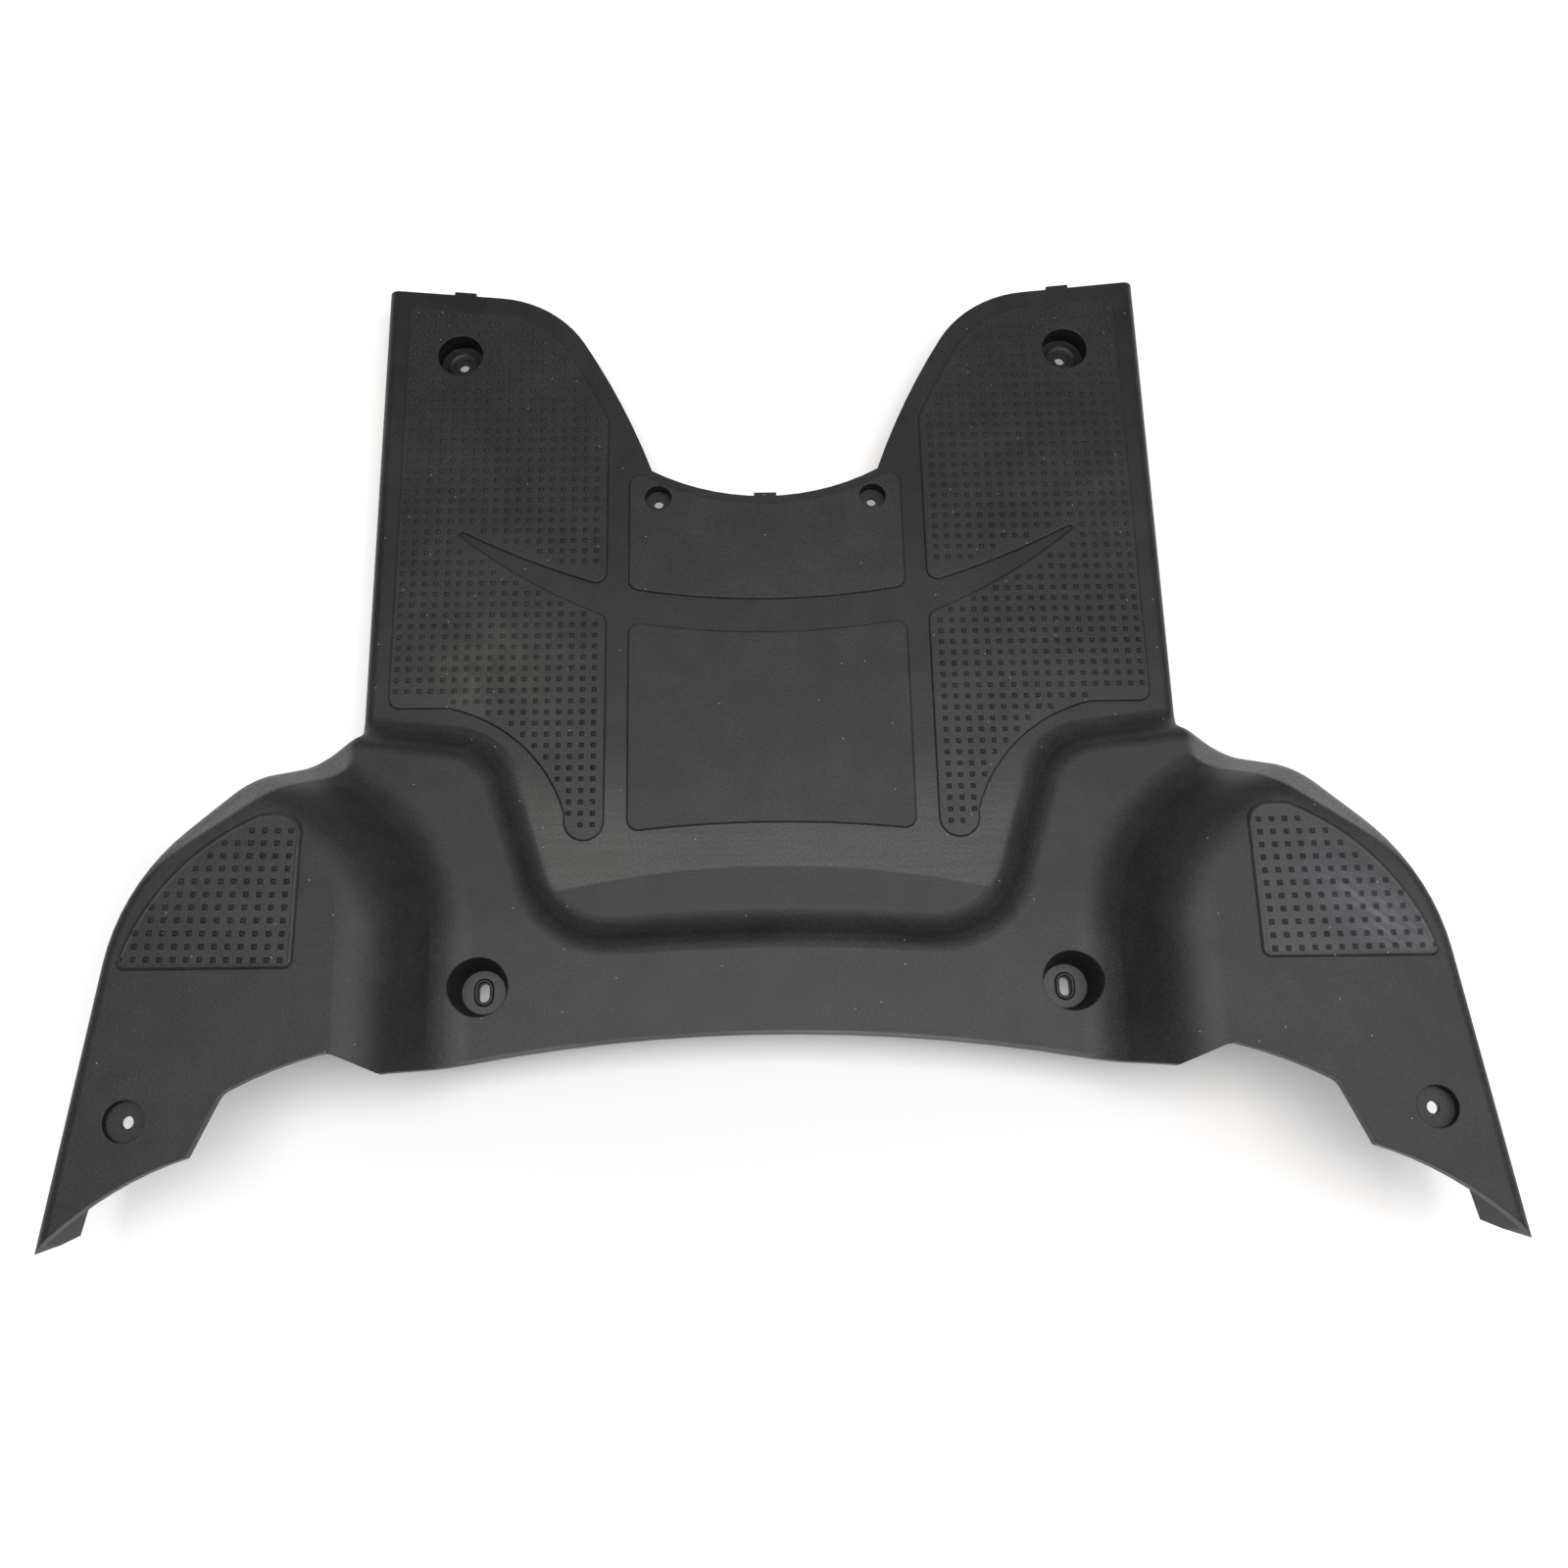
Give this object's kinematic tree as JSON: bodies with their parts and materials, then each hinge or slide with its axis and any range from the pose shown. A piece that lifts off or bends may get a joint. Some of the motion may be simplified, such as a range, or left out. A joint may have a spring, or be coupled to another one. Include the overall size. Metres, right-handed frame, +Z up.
{
  "type": "scooter floorboard",
  "caption": "Moulded plastic scooter floorboard with a flat treaded foot floor, steering-column cut-out, stepped rear platform, raised passenger wings and side skirts.",
  "frame": {"origin": "middle of the panel's outline box, on the plane that the side skirts stand on", "axes": "+X to the rider's right, +Y forward to the steering-column cut-out, +Z up"},
  "size_m": [0.54, 0.4278, 0.0619],
  "materials": {
    "panel": "black moulded plastic, satin floor and grained edges, scuffed and dusty"
  },
  "bodies": {
    "root": {"floorboard": "panel"}
  },
  "joints": []
}
